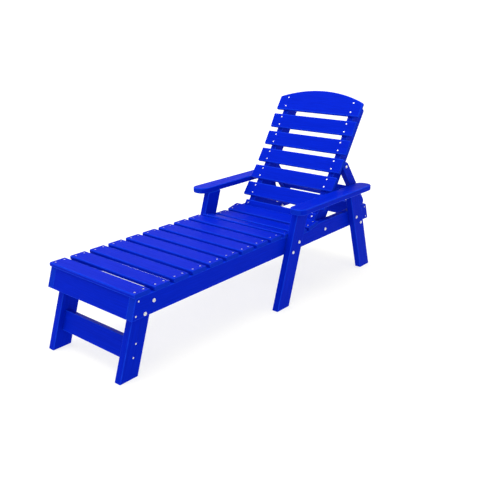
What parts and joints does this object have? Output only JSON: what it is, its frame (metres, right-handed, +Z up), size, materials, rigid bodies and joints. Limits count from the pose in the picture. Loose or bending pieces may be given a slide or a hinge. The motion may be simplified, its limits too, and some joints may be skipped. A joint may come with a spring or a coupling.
{
  "type": "adirondack chair",
  "caption": "Long adirondack lounge chair in blue plastic boards, with a slatted seat, flat arms, splayed legs and a hinged slatted back held up by a folding prop.",
  "frame": {"origin": "middle of the outline seen from above, on the ground under the feet", "axes": "+Z up, +Y towards the head end, X across the width, the chair symmetric about X = 0"},
  "size_m": [0.733, 1.832, 0.9716],
  "materials": {
    "plastic": "royal blue through-coloured board, faint grain, soft sheen",
    "steel": "plain stainless fasteners"
  },
  "bodies": {
    "frame": {"rail_right": "plastic", "rail_left": "plastic", "foot_apron": "plastic", "head_apron": "plastic", "foot_leg_right": "plastic", "foot_leg_left": "plastic", "foot_stretcher": "plastic", "front_post_right": "plastic", "front_post_left": "plastic", "head_leg_right": "plastic", "head_leg_left": "plastic", "arm_right": "plastic", "arm_left": "plastic", "seat_slat_1": "plastic", "seat_slat_2": "plastic", "seat_slat_3": "plastic", "seat_slat_4": "plastic", "seat_slat_5": "plastic", "seat_slat_6": "plastic", "seat_slat_7": "plastic", "seat_slat_8": "plastic", "seat_slat_9": "plastic", "seat_slat_10": "plastic", "seat_slat_11": "plastic", "seat_slat_12": "plastic", "seat_screws": "steel", "frame_screws": "steel", "leg_bolts": "steel", "leg_nuts": "steel", "arm_screws": "steel", "arm_plugs": "plastic", "back_pivot_bolts": "steel", "back_pivot_nuts": "steel", "back_pivot_spacers": "steel"},
    "back": {"upright_right": "plastic", "upright_left": "plastic", "back_slat_1": "plastic", "back_slat_2": "plastic", "back_slat_3": "plastic", "back_slat_4": "plastic", "back_slat_5": "plastic", "back_slat_6": "plastic", "crest_slat": "plastic", "back_screws": "steel", "prop_pivot_bolts": "steel", "prop_pivot_nuts": "steel", "prop_pivot_spacers": "steel"},
    "prop": {"prop_arm_right": "plastic", "prop_arm_left": "plastic", "prop_crossbar": "plastic", "prop_screws": "steel"}
  },
  "joints": [
    {"name": "back_hinge", "type": "hinge", "parent": "frame", "child": "back", "pos_m": [0, 0.46867, 0.3085], "axis": [1, 0, 0], "range_deg": [0, 20]},
    {"name": "prop_hinge", "type": "hinge", "parent": "back", "child": "prop", "pos_m": [0, 0.65636, 0.60752], "axis": [1, 0, 0], "range_deg": [0, 85]}
  ]
}
